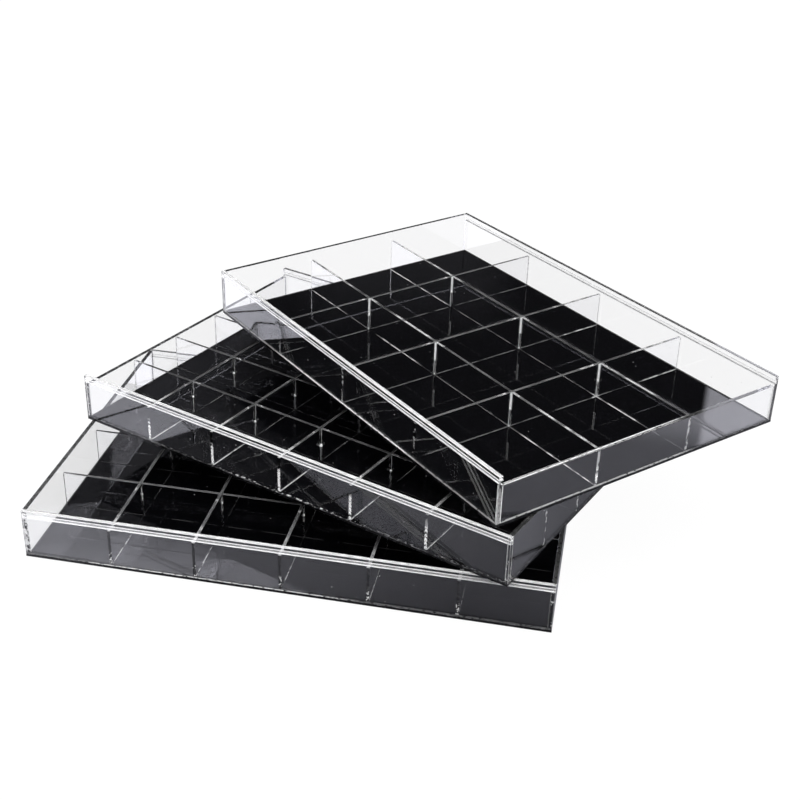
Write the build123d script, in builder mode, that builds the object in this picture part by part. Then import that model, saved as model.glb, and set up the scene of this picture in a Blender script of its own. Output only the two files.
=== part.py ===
# Three clear acrylic jewellery trays with black base plates, stacked and fanned.
# Millimetres. Z is up. The origin is the centre of the bottom tray's underside,
# with the bottom tray's length along X and its lid's way in towards +X.
import os
from math import cos, radians, sin

from build123d import *

# Every tray
tray_length = 350.0
tray_width = 240.0
tray_height = 36.0
wall_sheet = 3.0
base_sheet = 2.0
divider_sheet = 2.0

# Lid groove, in the inner face of each long wall and along its whole length
lip_height = 3.2  # wall left above the groove
groove_height = 2.4
groove_depth = 1.4

# Steps down from the groove's floor to the low end wall, and from there to the dividers' tops
low_wall_step = 1.2
divider_step = 0.6

# Half-lap notches: play on each side of the sheet that a notch takes, and below its end
notch_side_play = 0.1
notch_end_play = 0.1

# Where each tray lies: counts of dividers across and along it, the offset of its centre from the
# bottom tray's centre, the direction from its high end to its low end in degrees, and its level
trays = {
    "bottom": {"cross": 5, "along": 3, "centre": (0.0, 0.0), "turn": 0.0, "level": 0},
    "middle": {"cross": 5, "along": 4, "centre": (28.3, 49.0), "turn": 158.1, "level": 1},
    "top": {"cross": 3, "along": 2, "centre": (95.6, 89.4), "turn": -44.7, "level": 2},
}

# Heights over a tray's underside
groove_floor = tray_height - lip_height - groove_height
low_wall_top = groove_floor - low_wall_step
divider_top = low_wall_top - divider_step
notch_level = (base_sheet + divider_top) / 2

# Clear space between the walls
inner_length = tray_length - 2 * wall_sheet
inner_width = tray_width - 2 * wall_sheet


def tray_plane(tray):
    """Plane on a tray's underside, centred, with X towards the tray's low end."""
    x, y = tray["centre"]
    turn = radians(tray["turn"])
    return Plane(
        origin=(x, y, tray["level"] * tray_height),
        x_dir=(cos(turn), sin(turn), 0),
        z_dir=(0, 0, 1),
    )


def upright_across(tray, x):
    """Upright plane square to the tray's length, x from its centre. It is drawn in (y, z)."""
    floor = tray_plane(tray)
    return Plane(origin=floor.from_local_coords((x, 0, 0)), x_dir=floor.y_dir, z_dir=floor.x_dir)


def upright_along(tray, y):
    """Upright plane along the tray's length, y from its centre. It is drawn in (x, z)."""
    floor = tray_plane(tray)
    return Plane(origin=floor.from_local_coords((0, y, 0)), x_dir=floor.x_dir, z_dir=-floor.y_dir)


def spaced(clear, count):
    """Centres of dividers that part a clear length into equal compartments."""
    compartment = (clear - count * divider_sheet) / (count + 1)
    pitch = compartment + divider_sheet
    return [pitch * (k + 1) - divider_sheet / 2 - clear / 2 for k in range(count)]


def base_plate(tray):
    """Black sheet under the whole tray."""
    with BuildPart() as plate:
        with BuildSketch(tray_plane(tray)):
            Rectangle(tray_length, tray_width)
        extrude(amount=base_sheet)
    return plate.part


def long_wall(tray, side):
    """Full-height long wall on one side (1 or -1), with the lid groove in its inner face."""
    outer = side * tray_width / 2
    inner = side * inner_width / 2
    groove_back = inner + side * groove_depth
    with BuildPart() as wall:
        with BuildSketch(upright_across(tray, 0)):
            with BuildLine():
                Polyline(
                    (outer, base_sheet),
                    (outer, tray_height),
                    (inner, tray_height),
                    (inner, groove_floor + groove_height),
                    (groove_back, groove_floor + groove_height),
                    (groove_back, groove_floor),
                    (inner, groove_floor),
                    (inner, base_sheet),
                    close=True,
                )
            make_face()
        extrude(amount=tray_length / 2, both=True)
    return wall.part


def end_wall(tray, end, top):
    """Wall between the long walls at one end (1 or -1), up to a given height."""
    with BuildPart() as wall:
        with BuildSketch(upright_across(tray, end * (tray_length - wall_sheet) / 2)):
            with Locations((0, (base_sheet + top) / 2)):
                Rectangle(inner_width, top - base_sheet)
        extrude(amount=wall_sheet / 2, both=True)
    return wall.part


def divider(plane, clear, notches, notched_from_top):
    """Sheet between two facing walls, drawn on an upright plane, with a half-lap notch at each crossing."""
    notch_width = divider_sheet + 2 * notch_side_play
    if notched_from_top:
        notch_low = notch_level - notch_end_play
        notch_high = divider_top
    else:
        notch_low = base_sheet
        notch_high = notch_level + notch_end_play
    with BuildPart() as sheet:
        with BuildSketch(plane):
            with Locations((0, (base_sheet + divider_top) / 2)):
                Rectangle(clear, divider_top - base_sheet)
            with Locations(*[(place, (notch_low + notch_high) / 2) for place in notches]):
                Rectangle(notch_width, notch_high - notch_low, mode=Mode.SUBTRACT)
        extrude(amount=divider_sheet / 2, both=True)
    return sheet.part


def tray_pieces(tray):
    """All pieces of one tray by name."""
    cross_places = spaced(inner_length, tray["cross"])
    along_places = spaced(inner_width, tray["along"])
    pieces = {
        "base_plate": base_plate(tray),
        "right_wall": long_wall(tray, -1),
        "left_wall": long_wall(tray, 1),
        "high_end_wall": end_wall(tray, -1, tray_height),
        "low_end_wall": end_wall(tray, 1, low_wall_top),
    }
    for number, x in enumerate(cross_places, 1):
        plane = upright_across(tray, x)
        pieces[f"cross_divider_{number}"] = divider(plane, inner_width, along_places, False)
    for number, y in enumerate(along_places, 1):
        plane = upright_along(tray, y)
        pieces[f"long_divider_{number}"] = divider(plane, inner_length, cross_places, True)
    return pieces


os.makedirs("parts", exist_ok=True)
for tray_name, tray in trays.items():
    for piece_name, piece in tray_pieces(tray).items():
        piece.label = f"{tray_name}_{piece_name}"
        export_step(piece, f"parts/{piece.label}.step")
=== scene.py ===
# Looks of three clear acrylic jewellery trays with black base plates, stacked and fanned.
# Every length below is in millimetres until MM turns it into metres.
import random
from math import cos, pi, radians, sin

import bmesh
import bpy
from mathutils import Matrix, Vector, noise


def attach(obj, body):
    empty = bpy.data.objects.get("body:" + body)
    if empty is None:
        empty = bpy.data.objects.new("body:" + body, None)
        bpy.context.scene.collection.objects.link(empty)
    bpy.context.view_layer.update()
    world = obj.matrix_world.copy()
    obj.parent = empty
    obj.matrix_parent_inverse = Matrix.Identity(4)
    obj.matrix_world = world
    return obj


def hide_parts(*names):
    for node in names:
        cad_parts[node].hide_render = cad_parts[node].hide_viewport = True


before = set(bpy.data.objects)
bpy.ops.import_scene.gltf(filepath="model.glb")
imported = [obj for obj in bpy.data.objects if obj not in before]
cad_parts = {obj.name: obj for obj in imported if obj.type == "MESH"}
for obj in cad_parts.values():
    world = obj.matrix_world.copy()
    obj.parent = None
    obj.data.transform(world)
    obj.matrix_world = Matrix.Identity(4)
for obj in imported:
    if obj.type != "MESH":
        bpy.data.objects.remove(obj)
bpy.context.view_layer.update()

MM = 0.001

# Camera, fitted to the trays' edges in the photograph, in the part's frame
IMAGE_SIDE = 800
FOCAL_PIXELS = 1320.26
CAMERA_PLACE = (189.91, -775.94, 528.29)
CAMERA_HEADING = radians(11.578)
CAMERA_PITCH = radians(28.916)
CAMERA_ROLL = radians(1.013)
OPTICAL_CENTRE = (367.43, 387.85)

# Every tray, as in the CAD model
TRAY_LENGTH = 350.0
TRAY_WIDTH = 240.0
TRAY_HEIGHT = 36.0
WALL_SHEET = 3.0
BASE_SHEET = 2.0
DIVIDER_SHEET = 2.0
GROOVE_FLOOR = 30.4
GROOVE_TOP = 32.8
GROOVE_DEPTH = 1.4
LOW_WALL_TOP = 29.2
DIVIDER_TOP = 28.6
NOTCH_SIDE_PLAY = 0.1
NOTCH_END_PLAY = 0.1
NOTCH_LEVEL = (BASE_SHEET + DIVIDER_TOP) / 2
INNER_LENGTH = TRAY_LENGTH - 2 * WALL_SHEET
INNER_WIDTH = TRAY_WIDTH - 2 * WALL_SHEET

TRAYS = {
    "bottom": {"cross": 5, "along": 3, "centre": (0.0, 0.0), "turn": 0.0, "level": 0},
    "middle": {"cross": 5, "along": 4, "centre": (28.3, 49.0), "turn": 158.1, "level": 1},
    "top": {"cross": 3, "along": 2, "centre": (95.6, 89.4), "turn": -44.7, "level": 2},
}

# Room that the cement takes between two sheets, and the width of the broken edge of a cut sheet
CEMENT = 0.05
WALL_ARRIS = 0.18
DIVIDER_ARRIS = 0.09
BASE_ARRIS = 0.15

# Drops of cement where dividers cross: the corner that they sit in (signs of x and y), the levels
# and radii, how far a level may be off, their height for their width, and the share of corners
DROPS = {
    "bottom": {
        "corner": (1, -1),
        "levels": [(20, 0.45)],
        "spread": 2.0,
        "tall": 2.6,
        "share": 0.8,
        "seed": 3,
    },
    "middle": {
        "corner": (-1, 1),
        "levels": [(15.5, 1.0)],
        "spread": 1.2,
        "tall": 1.0,
        "share": 0.9,
        "seed": 5,
    },
    "top": {
        "corner": (1, -1),
        "levels": [(2.7, 0.5), (15.5, 0.7)],
        "spread": 0.8,
        "tall": 1.4,
        "share": 0.6,
        "seed": 8,
    },
}
DROP_SIZES = (0.7, 1.15)  # smallest and largest, for the radius given
DROP_SWELL = 0.18
DROP_SWELL_SCALE = 2.5
DROP_SUNK = 0.45  # its centre is this share of its radius off each sheet

ACRYLIC_IOR = 1.49
# Painted shade: grey that darkens the far wall's milled groove, which is white frost like the front's
SHEET_TINT = (0.975, 0.975, 0.98, 1)
FAR_GROOVE_PAINTED_SHADE = (0.42, 0.42, 0.43, 1)
BLACK = (0.0012, 0.0012, 0.0016, 1)
JOINT_BLACK = (0.001, 0.001, 0.0012, 1)
DRY_WHITE = (0.95, 0.95, 0.95, 1)
DUST = (0.2, 0.2, 0.21, 1)
# Distance between the marks that a saw left on the middle tray's dividers, and where they start,
# are full, are full no more and have ended
SAW_PITCH = 3.2
SAW_MARK_HEIGHTS = (2, 3, 18, 20)
# A wetted joint hardly bends light, because the cement fills it
WETTED_IOR = 1.08


def make_camera():
    data = bpy.data.cameras.new("camera")
    camera = bpy.data.objects.new("camera", data)
    bpy.context.scene.collection.objects.link(camera)
    ahead = Vector((-sin(CAMERA_HEADING), cos(CAMERA_HEADING), 0))
    level_right = Vector((cos(CAMERA_HEADING), sin(CAMERA_HEADING), 0))
    forward = ahead * cos(CAMERA_PITCH) - Vector((0, 0, sin(CAMERA_PITCH)))
    level_up = ahead * sin(CAMERA_PITCH) + Vector((0, 0, cos(CAMERA_PITCH)))
    right = level_right * cos(CAMERA_ROLL) + level_up * sin(CAMERA_ROLL)
    up = level_up * cos(CAMERA_ROLL) - level_right * sin(CAMERA_ROLL)
    turn = Matrix((right, up, -forward)).transposed().to_4x4()
    camera.matrix_world = Matrix.Translation(Vector(CAMERA_PLACE) * MM) @ turn
    data.sensor_width = 36
    data.lens = data.sensor_width * FOCAL_PIXELS / IMAGE_SIDE
    data.shift_x = (IMAGE_SIDE / 2 - OPTICAL_CENTRE[0]) / IMAGE_SIDE
    data.shift_y = (OPTICAL_CENTRE[1] - IMAGE_SIDE / 2) / IMAGE_SIDE
    data.clip_start = 0.01
    data.clip_end = 50
    bpy.context.scene.camera = camera


class Shader:
    """A node tree, with short calls for the few kinds of node that the materials use."""

    def __init__(self, tree):
        self.tree = tree
        self.tree.nodes.clear()

    def node(self, kind, inputs=None, **settings):
        node = self.tree.nodes.new("ShaderNode" + kind)
        for name, value in settings.items():
            setattr(node, name, value)
        for name, value in (inputs or {}).items():
            self.feed(node.inputs[name], value)
        return node

    def feed(self, socket, value):
        if isinstance(value, bpy.types.NodeSocket):
            self.tree.links.new(value, socket)
        else:
            socket.default_value = value

    def maths(self, operation, *values, clamp=False):
        node = self.node("Math", operation=operation, use_clamp=clamp)
        for socket, value in zip(node.inputs, values):
            self.feed(socket, value)
        return node.outputs[0]

    def add(self, a, b):
        return self.maths("ADD", a, b)

    def times(self, a, b):
        return self.maths("MULTIPLY", a, b)

    def between(self, value, low, high, at_low=0.0, at_high=1.0, smooth=True):
        """value from low to high becomes at_low to at_high."""
        node = self.node("MapRange", interpolation_type="SMOOTHSTEP" if smooth else "LINEAR")
        for name, given in zip(
            ("Value", "From Min", "From Max", "To Min", "To Max"),
            (value, low, high, at_low, at_high),
        ):
            self.feed(node.inputs[name], given)
        return node.outputs[0]

    def window(self, value, marks):
        """0 up to the first mark, 1 between the middle two and 0 from the last."""
        start, full, less, ended = marks
        return self.times(self.between(value, start, full), self.between(value, less, ended, 1.0, 0.0))

    def noise(self, place, scale, detail=2.0):
        inputs = {"Vector": place, "Scale": scale, "Detail": detail}
        return self.node("TexNoise", inputs).outputs[0]

    def stretched(self, place, scale):
        return self.node("Mapping", {"Vector": place, "Scale": scale}).outputs[0]

    def blend(self, factor, a, b):
        node = self.node("Mix", data_type="RGBA")
        for index, value in ((0, factor), (6, a), (7, b)):
            self.feed(node.inputs[index], value)
        return node.outputs[2]

    def mixed(self, factor, a, b):
        """Shader a where factor is 0 and b where it is 1."""
        node = self.node("MixShader")
        for socket, value in zip(node.inputs, (factor, a, b)):
            self.feed(socket, value)
        return node.outputs[0]

    def both(self, a, b):
        node = self.node("AddShader")
        self.feed(node.inputs[0], a)
        self.feed(node.inputs[1], b)
        return node.outputs[0]

    def finish(self, surface, kind="OutputMaterial"):
        out = self.node(kind)
        self.tree.links.new(surface, out.inputs["Surface"])


def new_material(name):
    material = bpy.data.materials.new(name)
    material.use_nodes = True
    return material, Shader(material.node_tree)


def through_for_lamps(sh, surface):
    """Lets the lamps' light through a clear surface, which would else cast a black shadow."""
    path = sh.node("LightPath")
    clear = sh.node("BsdfTransparent")
    return sh.mixed(path.outputs["Is Shadow Ray"], surface, clear.outputs[0])


def acrylic(
    name, white, share=1.0, roughness=0.0, ior=ACRYLIC_IOR, bump=None, tint=(1, 1, 1, 1), wet=None
):
    """Acrylic that is clear where white(sh, place) is 0 and frosted white where it is 1.

    share is how white the frost is at most, and roughness how rough it is. wet(sh, place) is 1
    where cement joins the face to another sheet and leaves nothing to reflect.
    place is a point in the tray's own frame, in metres.
    """
    material, sh = new_material(name)
    place = sh.node("TexCoord").outputs["Object"]
    frost = white(sh, place)
    clearness = sh.between(frost, 0, 1, 1.0, 1.0 - share, smooth=False)
    rough = sh.between(frost, 0, 0.4, 0.0, roughness) if roughness else 0.0
    if wet:
        ior = sh.between(wet(sh, place), 0, 1, ior, WETTED_IOR)
    inputs = {"Base Color": tint, "Transmission Weight": clearness, "Roughness": rough, "IOR": ior}
    if bump:
        relief = {"Height": bump(sh, place), "Strength": 0.3, "Distance": 0.00003}
        inputs["Normal"] = sh.node("Bump", relief).outputs[0]
    surface = sh.node("BsdfPrincipled", inputs).outputs[0]
    sh.finish(through_for_lamps(sh, surface))
    return material


def specks(sh, place, scale, share):
    """1 on small dust specks, in the given share of the cells of a size 1 / scale."""
    cells = sh.node("TexVoronoi", {"Vector": place, "Scale": scale})
    chance = sh.node("SeparateColor", {0: cells.outputs["Color"]}).outputs[0]
    picked = sh.maths("LESS_THAN", chance, share)
    near = sh.between(cells.outputs["Distance"], 0.06, 0.10, 1.0, 0.0)
    return sh.times(picked, near)


def axes(sh, place):
    return sh.node("SeparateXYZ", {0: place}).outputs


def from_nearest(sh, value, places):
    """Distance in metres from the nearest of some evenly spaced places, given in millimetres."""
    pitch = (places[1] - places[0]) * MM
    return sh.maths("PINGPONG", sh.maths("SUBTRACT", value, places[0] * MM), pitch / 2)


def patches(sh, place, scale, cover, soft=0.06, detail=3):
    """1 on patches that cover about the given share of a surface."""
    middle = 0.5 + (0.5 - cover) * 0.36
    return sh.between(sh.noise(place, scale, detail), middle - soft, middle + soft)


def upwards(sh, place, low, high, at_low=0.0, at_high=1.0):
    return sh.between(axes(sh, place)["Z"], low * MM, high * MM, at_low, at_high)


def joint_on_black(name, white, share):
    """Foot of a sheet: black where the cement joins it to the base plate, white where it stayed dry."""
    material, sh = new_material(name)
    place = sh.node("TexCoord").outputs["Object"]
    dry = sh.times(white(sh, place), share)
    colour = sh.blend(dry, JOINT_BLACK, DRY_WHITE)
    rough = sh.between(dry, 0, 1, 0.25, 0.5)
    body = sh.node("BsdfPrincipled", {"Base Color": colour, "Roughness": rough, "IOR": WETTED_IOR})
    sh.finish(body.outputs[0])
    return material


def polished_acrylic():
    """Clear sheet face, with a few dust specks."""
    return acrylic(
        "clear_acrylic",
        lambda sh, place: specks(sh, place, 260, 0.05),
        share=0.6,
        tint=SHEET_TINT,
    )


def cut_acrylic():
    """Flame-polished cut edge of a sheet: clear, faintly uneven, with a few frosted spots."""
    return acrylic(
        "cut_edge",
        lambda sh, place: sh.between(sh.noise(place, 180, 3), 0.35, 0.65, 0.2, 1.0),
        share=0.03,
        roughness=0.02,
    )


def milled_acrylic():
    """Floor and ceiling of the groove for the lid: frosted white by the cutter."""
    return acrylic(
        "milled_groove",
        lambda sh, place: sh.between(sh.noise(place, 200, 3), 0.3, 0.6, 0.93, 1.0),
        roughness=0.5,
        bump=lambda sh, place: sh.noise(sh.stretched(place, (60, 900, 900)), 1, 1),
    )


def shaded_far_milled_acrylic():
    """Floor and ceiling of the groove in the far wall, where they show as a thin grey line: painted
    shade, a grey copy of the front wall's white milled groove.
    """
    return acrylic(
        "far_milled_groove_painted_shade",
        lambda sh, place: sh.between(sh.noise(place, 60, 3), 0.3, 0.6, 0.85, 1.0),
        roughness=0.5,
        tint=FAR_GROOVE_PAINTED_SHADE,
    )


def groove_back_acrylic():
    """Back of the groove: cut by the side of the cutter, and clearer than its floor."""

    def lines(sh, place):
        drawn_out = sh.stretched(place, (60, 60, 2500))
        return sh.between(sh.noise(drawn_out, 1, 2), 0.35, 0.65, 0.8, 1.0)

    return acrylic("groove_back", lines, share=0.28, roughness=0.2)


def wall_arris_acrylic():
    """Broken edge of a long wall: a thin line, whiter on some stretches."""
    return acrylic(
        "broken_edge",
        lambda sh, place: sh.between(sh.noise(place, 90, 3), 0.35, 0.65, 0.5, 1.0),
        share=0.22,
        roughness=0.3,
    )


def end_arris_acrylic(tray_name):
    """Broken edge of an end wall: faint, in short dashes."""
    low_end, high_end = {"bottom": (0.08, 0.1), "middle": (0.3, 0.2), "top": (0.1, 0.1)}[tray_name]

    def dashes(sh, place):
        level = sh.between(axes(sh, place)["X"], -0.01, 0.01, high_end, low_end)
        return sh.times(patches(sh, place, 420, 0.6, 0.05), level)

    return acrylic(f"{tray_name}_broken_end_edge", dashes, share=0.95, roughness=0.3)


# White saw line along the top of the top tray's low end wall: how far it is from the wall's middle
# at two places across the tray, where it fades out, and half its width, all in millimetres
SAW_LINE_ENDS = ((-110, 0.75), (20, -1.2))
SAW_LINE_FADE = (24, 42)
SAW_LINE_HALF = 0.3


def saw_line_acrylic():
    """Top of the top tray's low end wall: clear, with a thin white line in dashes along it."""
    (from_y, from_x), (to_y, to_x) = SAW_LINE_ENDS
    middle = (TRAY_LENGTH - WALL_SHEET) / 2
    start = (middle + from_x) * MM
    end = (middle + to_x) * MM

    def line(sh, place):
        at = axes(sh, place)
        path = sh.between(at["Y"], from_y * MM, to_y * MM, start, end, smooth=False)
        off = sh.maths("ABSOLUTE", sh.maths("SUBTRACT", at["X"], path))
        thin = sh.between(off, (SAW_LINE_HALF - 0.1) * MM, (SAW_LINE_HALF + 0.1) * MM, 1.0, 0.0)
        fade = sh.between(at["Y"], SAW_LINE_FADE[0] * MM, SAW_LINE_FADE[1] * MM, 1.0, 0.1)
        dashes = sh.between(sh.noise(place, 330, 2), 0.36, 0.46, 0.25, 1.0)
        faint = sh.between(sh.noise(place, 180, 3), 0.35, 0.65, 0.005, 0.03)
        return sh.maths("MAXIMUM", sh.times(sh.times(thin, fade), dashes), faint)

    return acrylic("low_end_saw_line", line, roughness=0.3)


# How white the tops of the dividers are, of those across the tray and of those along it
DIVIDER_TOP_WHITE = {
    "bottom": {"cross": 0.09, "long": 0.09},
    "middle": {"cross": 0.06, "long": 0.05},
    "top": {"cross": 0.08, "long": 0.035},
}


def divider_top_acrylic(tray_name, kind):
    """Sawn top of a cross or long divider, lightly frosted all along."""
    return acrylic(
        f"{tray_name}_{kind}_divider_top",
        lambda sh, place: sh.between(sh.noise(place, 130, 4), 0.35, 0.65, 0.55, 1.0),
        share=DIVIDER_TOP_WHITE[tray_name][kind],
        roughness=0.15,
    )


def divider_arris_acrylic(tray_name):
    """Broken edge of a divider, whiter on the top tray than on the others."""
    white = {"bottom": 0.05, "middle": 0.05, "top": 0.12}[tray_name]
    return acrylic(
        f"{tray_name}_divider_edge",
        lambda sh, place: sh.between(sh.noise(place, 110, 4), 0.35, 0.65, 0.45, 1.0),
        share=white,
        roughness=0.35,
    )


# Cement along the foot of the walls of each tray, by the front wall's side, which is its sign of y.
# The white line on the front wall starts, is full, is full no more and has ended at the four places
# of its stretch. Its strength is given there, on the rest of that wall, on the low end wall and on
# the far two walls. cover is the share of it that is white, and from is how far from the tray's
# middle the line on the front wall begins, in millimetres.
SEAMS = {
    "bottom": {
        "side": -1,
        "stretch": (-140, -120, 20, 60),
        "full": 0.9,
        "rest": 0.15,
        "low": 0.05,
        "far": 0.1,
        "cover": 0.7,
        "from": 118.4,
    },
    "middle": {
        "side": 1,
        "stretch": (-80, -60, 30, 60),
        "full": 0.85,
        "rest": 0.2,
        "low": 0.2,
        "far": 0.1,
        "cover": 0.3,
        "from": 115,
    },
    "top": {
        "side": -1,
        "stretch": (-115, -50, 60, 100),
        "full": 1.0,
        "rest": 0.3,
        "low": 0.45,
        "far": 0.03,
        "cover": 0.8,
        "from": 115,
    },
}
SEAM_EDGE_SOFT = 0.05
# On the low end wall the line fades between these places, towards the far side
LOW_SEAM_FADE = (-50, -30)


def seam_acrylic(tray_name):
    """Foot of the walls, where dried cement makes a broken white line over the base plate."""
    seam = SEAMS[tray_name]

    def line(sh, place):
        at = axes(sh, place)
        dashes = patches(sh, place, 420, seam["cover"], 0.03)
        along = sh.window(at["X"], [x * MM for x in seam["stretch"]])
        outwards = sh.times(at["Y"], seam["side"])
        front = sh.between(
            outwards,
            (seam["from"] - SEAM_EDGE_SOFT) * MM,
            (seam["from"] + SEAM_EDGE_SOFT) * MM,
        )
        near = sh.between(outwards, *[y * MM for y in LOW_SEAM_FADE], seam["far"], seam["low"])
        low_end = INNER_LENGTH / 2
        low = sh.between(at["X"], (low_end - 1) * MM, low_end * MM, seam["far"], near)
        level = sh.between(along, 0, 1, seam["rest"], seam["full"])
        return sh.times(dashes, sh.between(front, 0, 1, low, level))

    return joint_on_black(f"{tray_name}_seam", line, 0.95)


def wetted_acrylic():
    """Side of a notch that the cement filled, where it leaves nothing to see but a few bubbles."""
    return acrylic(
        "wetted_joint",
        lambda sh, place: specks(sh, place, 900, 0.06),
        share=0.5,
        ior=WETTED_IOR,
    )


def corner_acrylic(name, side, edge_white, mottle, black=False):
    """Joint of an end wall with a long wall: white along its edges and mottled between them.

    side is the sign of y of the front wall. The joint at the other long wall is nearly clear.
    """
    middle = (TRAY_LENGTH - WALL_SHEET) / 2 * MM

    def dry(sh, place):
        at = axes(sh, place)
        along = sh.maths("ABSOLUTE", at["X"])
        from_middle = sh.maths("ABSOLUTE", sh.maths("SUBTRACT", along, middle))
        edges = sh.between(from_middle, 0.6 * MM, 1.1 * MM, 0.0, edge_white)
        spots = sh.times(patches(sh, place, 500, mottle, 0.04, 4), 0.8)
        front = sh.between(sh.times(at["Y"], side), -0.01, 0.01, 0.06, 1.0)
        return sh.times(sh.maths("MAXIMUM", edges, spots), front)

    if black:
        return joint_on_black(name, dry, 0.9)
    return acrylic(name, dry, share=0.95, roughness=0.3, ior=WETTED_IOR)


# Stretches of the top tray's feet that the cement left dry, as lowest x, highest x, lowest y and
# highest y
DRY_FEET = [
    (-175, -130, -42, -36),
    (-66, -24, -42, -36),
    (100, 175, -42, -36),
    (-175, -92, 36, 42),
    (84, 130, 36, 42),
    (-3, 3, 84, 120),
    (83, 90, 84, 120),
]


# The other trays' feet stayed dry near the front wall, from between these distances from the
# tray's middle outwards, on a share of their length
DRY_FRONT = (75, 95)
DRY_FRONT_COVER = {"bottom": 0.6, "middle": 0.85}


def foot_acrylic(tray_name):
    """Cemented foot of a divider: black like the base plate, and white where it stayed dry."""

    def top_dry(sh, place):
        at = axes(sh, place)
        uneven = sh.between(sh.noise(place, 160, 3), 0.38, 0.60, 0.2, 1.0)
        found = sh.times(patches(sh, place, 60, 0.6, 0.1), 0.15)
        for x_low, x_high, y_low, y_high in DRY_FEET:
            x_marks = (x_low - 6, x_low + 4, x_high - 4, x_high + 6)
            y_marks = (y_low - 2, y_low, y_high, y_high + 2)
            along = sh.window(at["X"], [x * MM for x in x_marks])
            across = sh.window(at["Y"], [y * MM for y in y_marks])
            found = sh.maths("MAXIMUM", found, sh.times(sh.times(along, across), uneven))
        return found

    def front_dry(sh, place):
        faint = sh.times(patches(sh, place, 60, 0.6, 0.1), 0.03)
        outwards = sh.times(axes(sh, place)["Y"], SEAMS[tray_name]["side"])
        near_front = sh.between(outwards, *[y * MM for y in DRY_FRONT])
        spots = patches(sh, place, 260, DRY_FRONT_COVER[tray_name], 0.05)
        return sh.maths("MAXIMUM", faint, sh.times(near_front, spots))

    dry = top_dry if tray_name == "top" else front_dry
    return joint_on_black(f"{tray_name}_divider_foot", dry, 0.8)


def joined_wall_acrylic(tray_name):
    """Inner face of a front wall: clear, and wetted where the cemented end of a divider meets it."""
    half_sheet = DIVIDER_SHEET / 2

    def wet(sh, place):
        across = from_nearest(sh, axes(sh, place)["X"], TRAYS[tray_name]["cross_places"])
        behind = sh.between(across, (half_sheet - 0.15) * MM, half_sheet * MM, 1.0, 0.0)
        return sh.times(behind, upwards(sh, place, DIVIDER_TOP - 0.2, DIVIDER_TOP, 1.0, 0.0))

    return acrylic(
        f"{tray_name}_joined_wall",
        lambda sh, place: specks(sh, place, 160, 0.03),
        share=0.25,
        tint=SHEET_TINT,
        wet=wet,
    )


def front_end_acrylic(tray_name, tray):
    """Cemented end of a divider at the front wall, seen through that wall."""
    name = f"{tray_name}_front_end"

    def white_foot(sh, place):
        low = upwards(sh, place, 9, 13, 1.0, 0.05)
        return sh.times(low, patches(sh, place, 600, 0.35, 0.03))

    def saw_marks(sh, place):
        """Marks slanted across the sheet, on its lower part."""
        at = axes(sh, place)
        slant = sh.add(at["Z"], from_nearest(sh, at["X"], tray["cross_places"]))
        wave = sh.maths("SINE", sh.times(slant, 2 * pi / SAW_PITCH / MM))
        uneven = sh.between(sh.noise(place, 900, 3), 0.35, 0.6, 0.25, 0.9)
        marks = sh.times(sh.between(wave, 0.0, 0.3), uneven)
        return sh.times(marks, sh.window(at["Z"], [z * MM for z in SAW_MARK_HEIGHTS]))

    def spots(sh, place):
        return sh.times(patches(sh, place, 400, 0.2, 0.04), 0.6)

    if tray_name == "bottom":
        return joint_on_black(name, white_foot, 0.8)
    dry = saw_marks if tray_name == "middle" else spots
    return acrylic(name, dry, share=0.95, roughness=0.3, ior=WETTED_IOR)


def far_end_acrylic(tray_name):
    """Cemented end of a divider at the other walls: nearly clear."""
    cover, white = {"bottom": (0.2, 0.2), "middle": (0.35, 0.6), "top": (0.5, 0.35)}[tray_name]
    return acrylic(
        f"{tray_name}_far_end",
        lambda sh, place: patches(sh, place, 450, cover, 0.05),
        share=white,
        roughness=0.3,
        ior=WETTED_IOR,
    )


# White on the side of a notch: how far it reaches from the sheet's middle below the lap and above
# it, how ragged its edge is, its strength below and above, and between which heights it is
NOTCH_FROST = {
    "bottom": {"reach": (0.3, 0.5), "ragged": 0.6, "white": (0.1, 0.8), "height": (14, 16, 24, 26)},
    "middle": {"reach": (0.25, 0.3), "ragged": 0.5, "white": (0.5, 0.6), "height": (2, 3, 27, 29)},
    "top": {"reach": (0.5, 1.4), "ragged": 1.3, "white": (0.8, 1.0), "height": (0, 1, 40, 41)},
}


# Between these heights a notch's side goes over from its look below the lap to that above
LAP_BAND = (NOTCH_LEVEL - 2.5, NOTCH_LEVEL + 1.5)
FROST_EDGE_SOFT = 0.08


def notch_acrylic(tray_name, tray):
    """Saw-cut side of the notch where two dividers cross: a white band, narrower below the lap."""
    frost = NOTCH_FROST[tray_name]

    def dry(sh, place):
        at = axes(sh, place)
        across = sh.maths(
            "MINIMUM",
            from_nearest(sh, at["X"], tray["cross_places"]),
            from_nearest(sh, at["Y"], tray["along_places"]),
        )
        reach = upwards(sh, place, *LAP_BAND, *frost["reach"])
        ragged = sh.times(sh.maths("SUBTRACT", sh.noise(place, 380, 3), 0.5), frost["ragged"])
        left = sh.maths("SUBTRACT", sh.add(reach, ragged), sh.times(across, 1 / MM))
        level = upwards(sh, place, *LAP_BAND, *frost["white"])
        some = sh.window(at["Z"], [z * MM for z in frost["height"]])
        band = sh.between(left, -FROST_EDGE_SOFT, FROST_EDGE_SOFT)
        return sh.times(sh.times(band, level), some)

    return acrylic(f"{tray_name}_notch", dry, roughness=0.4, ior=WETTED_IOR)


def notch_edge_acrylic(tray_name):
    """Broken upright edge of a notch, a thin line beside a joint."""
    white = {"bottom": 0.04, "middle": 0.1, "top": 0.3}[tray_name]

    def chips(sh, place):
        return sh.times(patches(sh, place, 260, 0.5, 0.05), upwards(sh, place, 4, 24, 0.4, 1.0))

    return acrylic(f"{tray_name}_notch_edge", chips, share=white, roughness=0.4)


def glue_acrylic():
    """Dried drop of cement: milky, with clear spots."""
    return acrylic(
        "cement_drop", lambda sh, place: patches(sh, place, 1500, 0.97, 0.1), roughness=0.4
    )


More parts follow.
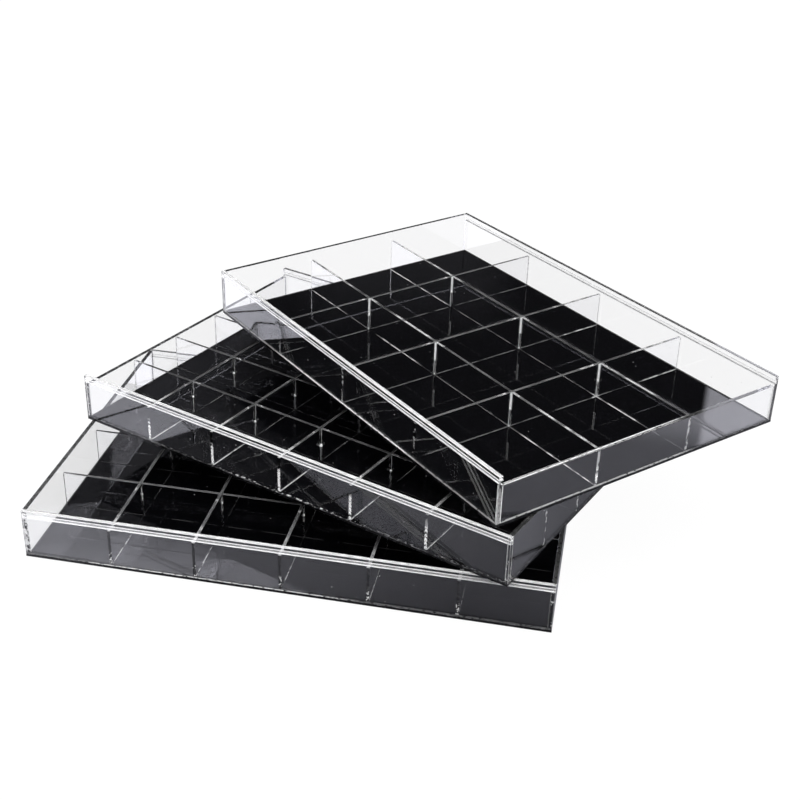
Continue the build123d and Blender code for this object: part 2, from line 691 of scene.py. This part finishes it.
def black_acrylic():
    """Glossy black sheet with a little dust and faint smears."""
    material, sh = new_material("black_acrylic")
    place = sh.node("TexCoord").outputs["Object"]
    colour = sh.blend(specks(sh, place, 180, 0.04), BLACK, DUST)
    smears = sh.between(sh.noise(sh.stretched(place, (9, 30, 9)), 1, 4), 0.4, 0.7, 0.004, 0.012)
    body = sh.node("BsdfPrincipled", {"Base Color": colour, "Roughness": smears, "IOR": ACRYLIC_IOR})
    sh.finish(body.outputs[0])
    return material


def black_cut_acrylic():
    """Sawn side of the black sheet: fine upright marks and a few dull patches."""
    material, sh = new_material("black_cut_edge")
    place = sh.node("TexCoord").outputs["Object"]
    marks = sh.noise(sh.stretched(place, (1800, 1800, 60)), 1, 2)
    colour = sh.blend(patches(sh, place, 200, 0.3), JOINT_BLACK, (0.008, 0.008, 0.009, 1))
    bump = sh.node("Bump", {"Height": marks, "Strength": 0.4, "Distance": 0.00005}).outputs[0]
    rough = sh.between(sh.noise(place, 120, 3), 0.4, 0.6, 0.12, 0.3)
    inputs = {"Base Color": colour, "Roughness": rough, "IOR": 1.3, "Normal": bump}
    sh.finish(sh.node("BsdfPrincipled", inputs).outputs[0])
    return material


def black_arris_acrylic():
    """Broken edge of the black sheet: a grey line with chips."""
    material, sh = new_material("black_broken_edge")
    place = sh.node("TexCoord").outputs["Object"]
    colour = sh.blend(patches(sh, place, 260, 0.35), (0.004, 0.004, 0.005, 1), DUST)
    sh.finish(sh.node("BsdfPrincipled", {"Base Color": colour, "Roughness": 0.4}).outputs[0])
    return material


# Soft lights of the studio, by heading from +Y towards +X and height over the floor, in degrees.
# Each window gives where a light starts, is full, is full no more and has ended.
LIGHTS = [
    {"heading": (-110, -60, 60, 110), "height": (34.6, 36.6, 88, 90), "strength": 1.4},
    {"heading": (-190, -175, -120, -100), "height": (2, 4, 14, 18), "strength": 1.6},
    {"heading": (-190, -175, -120, -95), "height": (46, 52, 78, 86), "strength": 2.5},
    {"heading": (-60, -30, -22, -15), "height": (16, 26, 60, 70), "strength": 0.2},
    {"heading": (4.6, 5.0, 30, 45), "height": (12, 18, 40, 46), "strength": 2.6},
    {"heading": (-16, -13, -7, -4), "height": (16, 20, 24, 27), "strength": 0.07},
    {"heading": (-200, -190, 190, 200), "height": (40, 60, 91, 92), "strength": 0.5},
]
# Soft light from the front right, which falls on surfaces and shows in no mirror
FILL = {"heading": (114, 122, 146, 152), "height": (6, 12, 56, 64), "strength": 4.0}
# Elsewhere the studio is dim, and it is white again low down, where the paper runs up
DIM = 0.03
PAPER_EDGE = (8, 17)
# The studio looks bluish in a mirror, and its light on a surface is neutral
MIRRORED_COLOUR = (0.97, 0.97, 1.065, 1)
WHITE = (1, 1, 1, 1)


def seen_straight(sh):
    """1 where the camera sees a thing directly or through clear sheets, and not in a mirror image."""
    path = sh.node("LightPath").outputs
    seen = sh.maths("ADD", path["Is Camera Ray"], path["Is Transmission Ray"], clamp=True)
    bounced = sh.add(path["Glossy Depth"], path["Diffuse Depth"])
    return sh.times(seen, sh.maths("LESS_THAN", bounced, 0.5))


def in_mirror(sh):
    """1 for what a mirror image shows, 0 for the light on a surface."""
    path = sh.node("LightPath").outputs
    return sh.times(sh.maths("LESS_THAN", path["Diffuse Depth"], 0.5), path["Is Glossy Ray"])


def make_world():
    world = bpy.data.worlds.new("world")
    bpy.context.scene.world = world
    world.use_nodes = True
    sh = Shader(world.node_tree)
    way = axes(sh, sh.node("TexCoord").outputs["Generated"])
    heading = sh.maths("DEGREES", sh.maths("ARCTAN2", way["X"], way["Y"]))
    height = sh.maths("DEGREES", sh.maths("ARCSINE", way["Z"]))
    studio = sh.between(height, PAPER_EDGE[0], PAPER_EDGE[1], 1.0, DIM)

    def shine(light):
        lit = sh.times(sh.window(heading, light["heading"]), sh.window(height, light["height"]))
        return sh.times(lit, light["strength"])

    for light in LIGHTS:
        studio = sh.add(studio, shine(light))
    colour = sh.blend(sh.between(height, *PAPER_EDGE), WHITE, MIRRORED_COLOUR)
    mirrored = sh.node("Background", {"Color": colour, "Strength": studio}).outputs[0]
    filled = sh.add(studio, shine(FILL))
    light = sh.node("Background", {"Color": WHITE, "Strength": filled}).outputs[0]
    white = sh.node("Background", {"Color": WHITE}).outputs[0]
    glow = sh.mixed(in_mirror(sh), light, mirrored)
    sh.finish(sh.mixed(seen_straight(sh), glow, white), "OutputWorld")


# The paper: its own colour, that of its lit part in a mirror (a darker copy, to which painted light is
# added by place), and of its shaded part seen straight
FLOOR_HALF = 6.0
PAPER = (0.85, 0.85, 0.86, 1)
MIRRORED_PAPER = (0.37, 0.37, 0.42, 1)
SEEN_PAPER = (0.06, 0.06, 0.06, 1)
SEEN_PAPER_GLOW = 0.955


def painted_paper_light(sh):
    """Painted light on the paper as a mirror shows it, besides its own shade: a painted pool of light
    on the left, painted shadow in front of the trays and painted light far to the right.
    """
    x = axes(sh, sh.node("TexCoord").outputs["Object"])["X"]
    # painted pool of light on the left, painted shadow in front of the trays, painted light far to the
    # right
    left = sh.between(x, -0.175, -0.057, 1.05, 0.19)
    front = sh.between(x, -0.03, 0.12, 0.0, -0.2)
    right = sh.between(x, 0.37, 0.42, 0.04, 0.6)
    return sh.add(sh.add(left, front), right)


def make_floor():
    half = FLOOR_HALF
    mesh = bpy.data.meshes.new("floor")
    corners = [(-half, -half, 0), (half, -half, 0), (half, half, 0), (-half, half, 0)]
    mesh.from_pydata(corners, [], [(0, 1, 2, 3)])
    floor = bpy.data.objects.new("floor", mesh)
    bpy.context.scene.collection.objects.link(floor)
    material, sh = new_material("floor")
    paper = sh.node("BsdfDiffuse", {"Color": PAPER}).outputs[0]
    # In a mirror the paper is a darker copy of itself, with painted light added by place
    mirrored = sh.both(
        sh.node("BsdfDiffuse", {"Color": MIRRORED_PAPER}).outputs[0],
        sh.node("Emission", {"Color": MIRRORED_COLOUR, "Strength": painted_paper_light(sh)}).outputs[0],
    )
    white = sh.both(
        sh.node("BsdfDiffuse", {"Color": SEEN_PAPER}).outputs[0],
        sh.node("Emission", {"Color": WHITE, "Strength": SEEN_PAPER_GLOW}).outputs[0],
    )
    unspread = sh.maths("LESS_THAN", sh.node("LightPath").outputs["Diffuse Depth"], 0.5)
    sh.finish(sh.mixed(seen_straight(sh), sh.mixed(unspread, paper, mirrored), white))
    mesh.materials.append(material)


# A face looks along an axis when that part of its normal is over SQUARE. Its centre is on a plane
# when it is within TINY of it, and within the groove when it is within NEAR of it, in millimetres.
SQUARE = 0.9
TINY = 0.01
NEAR = 0.3


def tray_matrix(tray):
    x, y = tray["centre"]
    place = Vector((x, y, tray["level"] * TRAY_HEIGHT)) * MM
    return Matrix.Translation(place) @ Matrix.Rotation(radians(tray["turn"]), 4, "Z")


def spaced(clear, count):
    """Centres of dividers that part a clear length into equal compartments."""
    compartment = (clear - count * DIVIDER_SHEET) / (count + 1)
    pitch = compartment + DIVIDER_SHEET
    return [pitch * (k + 1) - DIVIDER_SHEET / 2 - clear / 2 for k in range(count)]


def prism(outline, along):
    """Solid made of a flat outline pushed along a vector."""
    shape = bmesh.new()
    start = shape.faces.new([shape.verts.new(point) for point in outline])
    made = bmesh.ops.extrude_face_region(shape, geom=[start])["geom"]
    moved = [item for item in made if isinstance(item, bmesh.types.BMVert)]
    bmesh.ops.translate(shape, verts=moved, vec=along)
    bmesh.ops.recalc_face_normals(shape, faces=shape.faces)
    shape.normal_update()
    return shape


def every_edge(edge):
    return True


def finish_sheet(
    name, shape, look_of, edge_look_of, arris, tray_name, breaks=every_edge
):
    """Breaks a sheet's outward edges, gives its faces their materials and sets it in its tray.

    look_of and edge_look_of name the material of a face from its centre in millimetres and its
    normal, and breaks says which edges are broken.
    """
    outward = [edge for edge in shape.edges if edge.is_convex and breaks(edge)]
    made = bmesh.ops.bevel(
        shape, geom=outward, offset=arris, segments=1, affect="EDGES", clamp_overlap=True
    )
    broken = set(made["faces"])
    shape.normal_update()
    names = []
    for face in shape.faces:
        chooses = edge_look_of if face in broken else look_of
        look = chooses(face.calc_center_median(), face.normal)
        if look not in names:
            names.append(look)
        face.material_index = names.index(look)
    shape.transform(Matrix.Scale(MM, 4))
    mesh = bpy.data.meshes.new(name)
    shape.to_mesh(mesh)
    shape.free()
    for look in names:
        mesh.materials.append(LOOKS[tray_name][look])
    piece = bpy.data.objects.new(f"{name}_sheet", mesh)
    bpy.context.scene.collection.objects.link(piece)
    piece.matrix_world = tray_matrix(TRAYS[tray_name])
    bpy.context.view_layer.update()
    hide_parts(name)
    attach(piece, f"{tray_name}_tray")
    return piece


def long_wall(tray_name, side_name, side):
    outer = side * TRAY_WIDTH / 2
    inner = side * INNER_WIDTH / 2
    groove_back = inner + side * GROOVE_DEPTH
    foot = BASE_SHEET + CEMENT
    profile = [
        (outer, foot),
        (outer, TRAY_HEIGHT),
        (inner, TRAY_HEIGHT),
        (inner, GROOVE_TOP),
        (groove_back, GROOVE_TOP),
        (groove_back, GROOVE_FLOOR),
        (inner, GROOVE_FLOOR),
        (inner, foot),
    ]
    shape = prism([(-TRAY_LENGTH / 2, y, z) for y, z in profile], (TRAY_LENGTH, 0, 0))

    def look_of(centre, normal):
        in_groove = GROOVE_FLOOR - NEAR < centre.z < GROOVE_TOP + NEAR
        if centre.z < foot + TINY:
            return "seam"
        is_front = side == SEAMS[tray_name]["side"]
        # the far wall's groove takes the copy darkened by painted shade
        if in_groove and abs(normal.z) > SQUARE:
            return "milled" if is_front else "far_milled"
        if in_groove and abs(centre.y - groove_back) < TINY:
            return "groove_back"
        if tray_name == "bottom" and is_front and abs(centre.y - inner) < TINY:
            return "joined_wall"
        return "polished" if abs(normal.y) > SQUARE else "cut"

    def edge_look_of(centre, normal):
        return "seam" if centre.z < foot + WALL_ARRIS else "wall_arris"

    name = f"{tray_name}_{side_name}_wall"
    finish_sheet(name, shape, look_of, edge_look_of, WALL_ARRIS, tray_name)


def end_wall(tray_name, end_name, end, top):
    half = INNER_WIDTH / 2 - CEMENT
    foot = BASE_SHEET + CEMENT
    start = end * TRAY_LENGTH / 2 - (WALL_SHEET if end > 0 else 0)
    outline = [(start, -half, foot), (start, half, foot), (start, half, top), (start, -half, top)]
    shape = prism(outline, (WALL_SHEET, 0, 0))

    def look_of(centre, normal):
        if abs(normal.x) > SQUARE:
            return "polished"
        if abs(normal.y) > SQUARE:
            return f"{end_name}_corner"
        if normal.z < -SQUARE:
            return "seam"
        return "saw_line" if tray_name == "top" and end > 0 else "cut"

    def edge_look_of(centre, normal):
        if centre.z < foot + WALL_ARRIS:
            return "seam"
        return "end_arris" if centre.z > top - WALL_ARRIS else f"{end_name}_corner"

    name = f"{tray_name}_{end_name}_end_wall"
    finish_sheet(name, shape, look_of, edge_look_of, WALL_ARRIS, tray_name)


def divider_outline(clear, notches, notched_from_top):
    """Outline of a divider as (along, up) pairs, with its half-lap notches."""
    half = clear / 2 - CEMENT
    foot = BASE_SHEET + CEMENT
    wide = DIVIDER_SHEET / 2 + NOTCH_SIDE_PLAY
    if notched_from_top:
        depth = NOTCH_LEVEL - NOTCH_END_PLAY
        outline = [(-half, foot), (half, foot), (half, DIVIDER_TOP)]
        for place in reversed(notches):
            outline += [(place + wide, DIVIDER_TOP), (place + wide, depth)]
            outline += [(place - wide, depth), (place - wide, DIVIDER_TOP)]
        outline.append((-half, DIVIDER_TOP))
    else:
        depth = NOTCH_LEVEL + NOTCH_END_PLAY
        outline = [(-half, foot)]
        for place in notches:
            outline += [(place - wide, foot), (place - wide, depth)]
            outline += [(place + wide, depth), (place + wide, foot)]
        outline += [(half, foot), (half, DIVIDER_TOP), (-half, DIVIDER_TOP)]
    return outline


def divider(tray_name, name, clear, notches, place, thin):
    """Divider across the tray (thin axis 0) or along it (thin axis 1), at a place on that axis."""
    half_sheet = DIVIDER_SHEET / 2
    along = 1 - thin
    outline = divider_outline(clear, notches, thin == 1)
    if thin == 0:
        shape = prism([(place - half_sheet, u, z) for u, z in outline], (DIVIDER_SHEET, 0, 0))
    else:
        shape = prism([(u, place - half_sheet, z) for u, z in outline], (0, DIVIDER_SHEET, 0))
    at_end = clear / 2 - 2 * CEMENT - DIVIDER_ARRIS
    front = SEAMS[tray_name]["side"]

    def end_look(centre):
        return "front_end" if thin == 0 and centre.y * front > 0 else "far_end"

    def look_of(centre, normal):
        if abs(normal[thin]) > SQUARE:
            return "polished"
        if abs(centre[along]) > at_end:
            return end_look(centre)
        if abs(normal[along]) > SQUARE:
            # the cement was run in along one side of the notch, and stayed dry on the other
            dry = normal[along] > 0 or (tray_name == "top" and centre.z > NOTCH_LEVEL)
            return "notch" if dry else "wetted"
        if centre.z < BASE_SHEET + 2 * CEMENT:
            return "foot"
        if centre.z > DIVIDER_TOP - TINY:
            return "cross_top" if thin == 0 else "long_top"
        return "notch"

    def edge_look_of(centre, normal):
        if centre.z > DIVIDER_TOP - DIVIDER_ARRIS:
            return "divider_arris"
        return end_look(centre) if abs(centre[along]) > at_end else "notch_edge"

    def above_foot(edge):
        return max(vert.co.z for vert in edge.verts) > BASE_SHEET + 2 * CEMENT

    sheet_name = f"{tray_name}_{name}"
    finish_sheet(sheet_name, shape, look_of, edge_look_of, DIVIDER_ARRIS, tray_name, breaks=above_foot)


def cement_drops(tray_name, tray):
    """Dried drops of cement in the corners where two dividers cross."""
    drops = DROPS[tray_name]
    side_x, side_y = drops["corner"]
    chance = random.Random(drops["seed"])
    shape = bmesh.new()
    for x in tray["cross_places"]:
        for y in tray["along_places"]:
            for level, size in drops["levels"]:
                radius = size * chance.uniform(*DROP_SIZES)
                rise = level + chance.uniform(-1, 1) * drops["spread"]
                if chance.random() > drops["share"]:
                    continue
                made = bmesh.ops.create_icosphere(shape, subdivisions=2, radius=radius)["verts"]
                for vert in made:
                    uneven = noise.noise(vert.co * DROP_SWELL_SCALE + Vector((x, y, level)))
                    swell = 1 + DROP_SWELL * uneven
                    vert.co = Vector((vert.co.x, vert.co.y, vert.co.z * drops["tall"])) * swell
                reach = DIVIDER_SHEET / 2 + radius * DROP_SUNK
                place = Vector((x + side_x * reach, y + side_y * reach, rise))
                bmesh.ops.translate(shape, verts=made, vec=place)
    for face in shape.faces:
        face.smooth = True
    shape.transform(Matrix.Scale(MM, 4))
    mesh = bpy.data.meshes.new(f"{tray_name}_cement_drops")
    shape.to_mesh(mesh)
    shape.free()
    mesh.materials.append(LOOKS[tray_name]["glue"])
    piece = bpy.data.objects.new(f"{tray_name}_cement_drops", mesh)
    bpy.context.scene.collection.objects.link(piece)
    piece.matrix_world = tray_matrix(tray)
    bpy.context.view_layer.update()
    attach(piece, f"{tray_name}_tray")


def base_plate(tray_name):
    x = TRAY_LENGTH / 2
    y = TRAY_WIDTH / 2
    outline = [(-x, -y, 0), (x, -y, 0), (x, y, 0), (-x, y, 0)]
    shape = prism(outline, (0, 0, BASE_SHEET))

    def look_of(centre, normal):
        return "black" if abs(normal.z) > SQUARE else "black_cut"

    def edge_look_of(centre, normal):
        return "black_arris"

    name = f"{tray_name}_base_plate"
    finish_sheet(name, shape, look_of, edge_look_of, BASE_ARRIS, tray_name)


def make_tray(tray_name, tray):
    long_wall(tray_name, "right", -1)
    long_wall(tray_name, "left", 1)
    end_wall(tray_name, "high", -1, TRAY_HEIGHT)
    end_wall(tray_name, "low", 1, LOW_WALL_TOP)
    cross_places = tray["cross_places"]
    along_places = tray["along_places"]
    for number, x in enumerate(cross_places, 1):
        divider(tray_name, f"cross_divider_{number}", INNER_WIDTH, along_places, x, 0)
    for number, y in enumerate(along_places, 1):
        divider(tray_name, f"long_divider_{number}", INNER_LENGTH, cross_places, y, 1)
    base_plate(tray_name)
    cement_drops(tray_name, tray)


def make_looks():
    """Materials of each tray's faces, by the names that the sheets use."""
    shared = {
        "polished": polished_acrylic(),
        "cut": cut_acrylic(),
        "milled": milled_acrylic(),
        "far_milled": shaded_far_milled_acrylic(),
        "groove_back": groove_back_acrylic(),
        "wall_arris": wall_arris_acrylic(),
        "wetted": wetted_acrylic(),
        "saw_line": saw_line_acrylic(),
        "black": black_acrylic(),
        "black_cut": black_cut_acrylic(),
        "black_arris": black_arris_acrylic(),
        "glue": glue_acrylic(),
    }
    special = {
        "bottom": {
            "high_corner": corner_acrylic("bottom_high_corner", -1, 0.35, 0.4, black=True),
            "low_corner": corner_acrylic("bottom_low_corner", -1, 0.1, 0.15, black=True),
            "joined_wall": joined_wall_acrylic("bottom"),
        },
        "middle": {
            "high_corner": corner_acrylic("middle_high_corner", 1, 0.5, 0.15, black=True),
            "low_corner": corner_acrylic("middle_low_corner", 1, 0.4, 0.2),
        },
        "top": {
            "high_corner": corner_acrylic("top_high_corner", -1, 0.5, 0.15),
            "low_corner": corner_acrylic("top_low_corner", -1, 1.0, 0.4),
        },
    }
    looks = {}
    for tray_name, tray in TRAYS.items():
        own = {
            "divider_arris": divider_arris_acrylic(tray_name),
            "seam": seam_acrylic(tray_name),
            "foot": foot_acrylic(tray_name),
            "front_end": front_end_acrylic(tray_name, tray),
            "far_end": far_end_acrylic(tray_name),
            "end_arris": end_arris_acrylic(tray_name),
            "cross_top": divider_top_acrylic(tray_name, "cross"),
            "long_top": divider_top_acrylic(tray_name, "long"),
            "notch": notch_acrylic(tray_name, tray),
            "notch_edge": notch_edge_acrylic(tray_name),
        }
        looks[tray_name] = {**shared, **own, **special[tray_name]}
    return looks


for tray in TRAYS.values():
    tray["cross_places"] = spaced(INNER_LENGTH, tray["cross"])
    tray["along_places"] = spaced(INNER_WIDTH, tray["along"])
LOOKS = make_looks()
make_camera()
make_world()
make_floor()
for tray_name, tray in TRAYS.items():
    make_tray(tray_name, tray)

scene = bpy.context.scene
scene.view_settings.view_transform = "Standard"
scene.cycles.max_bounces = 32
scene.cycles.transmission_bounces = 32
scene.cycles.glossy_bounces = 8
scene.cycles.transparent_max_bounces = 32
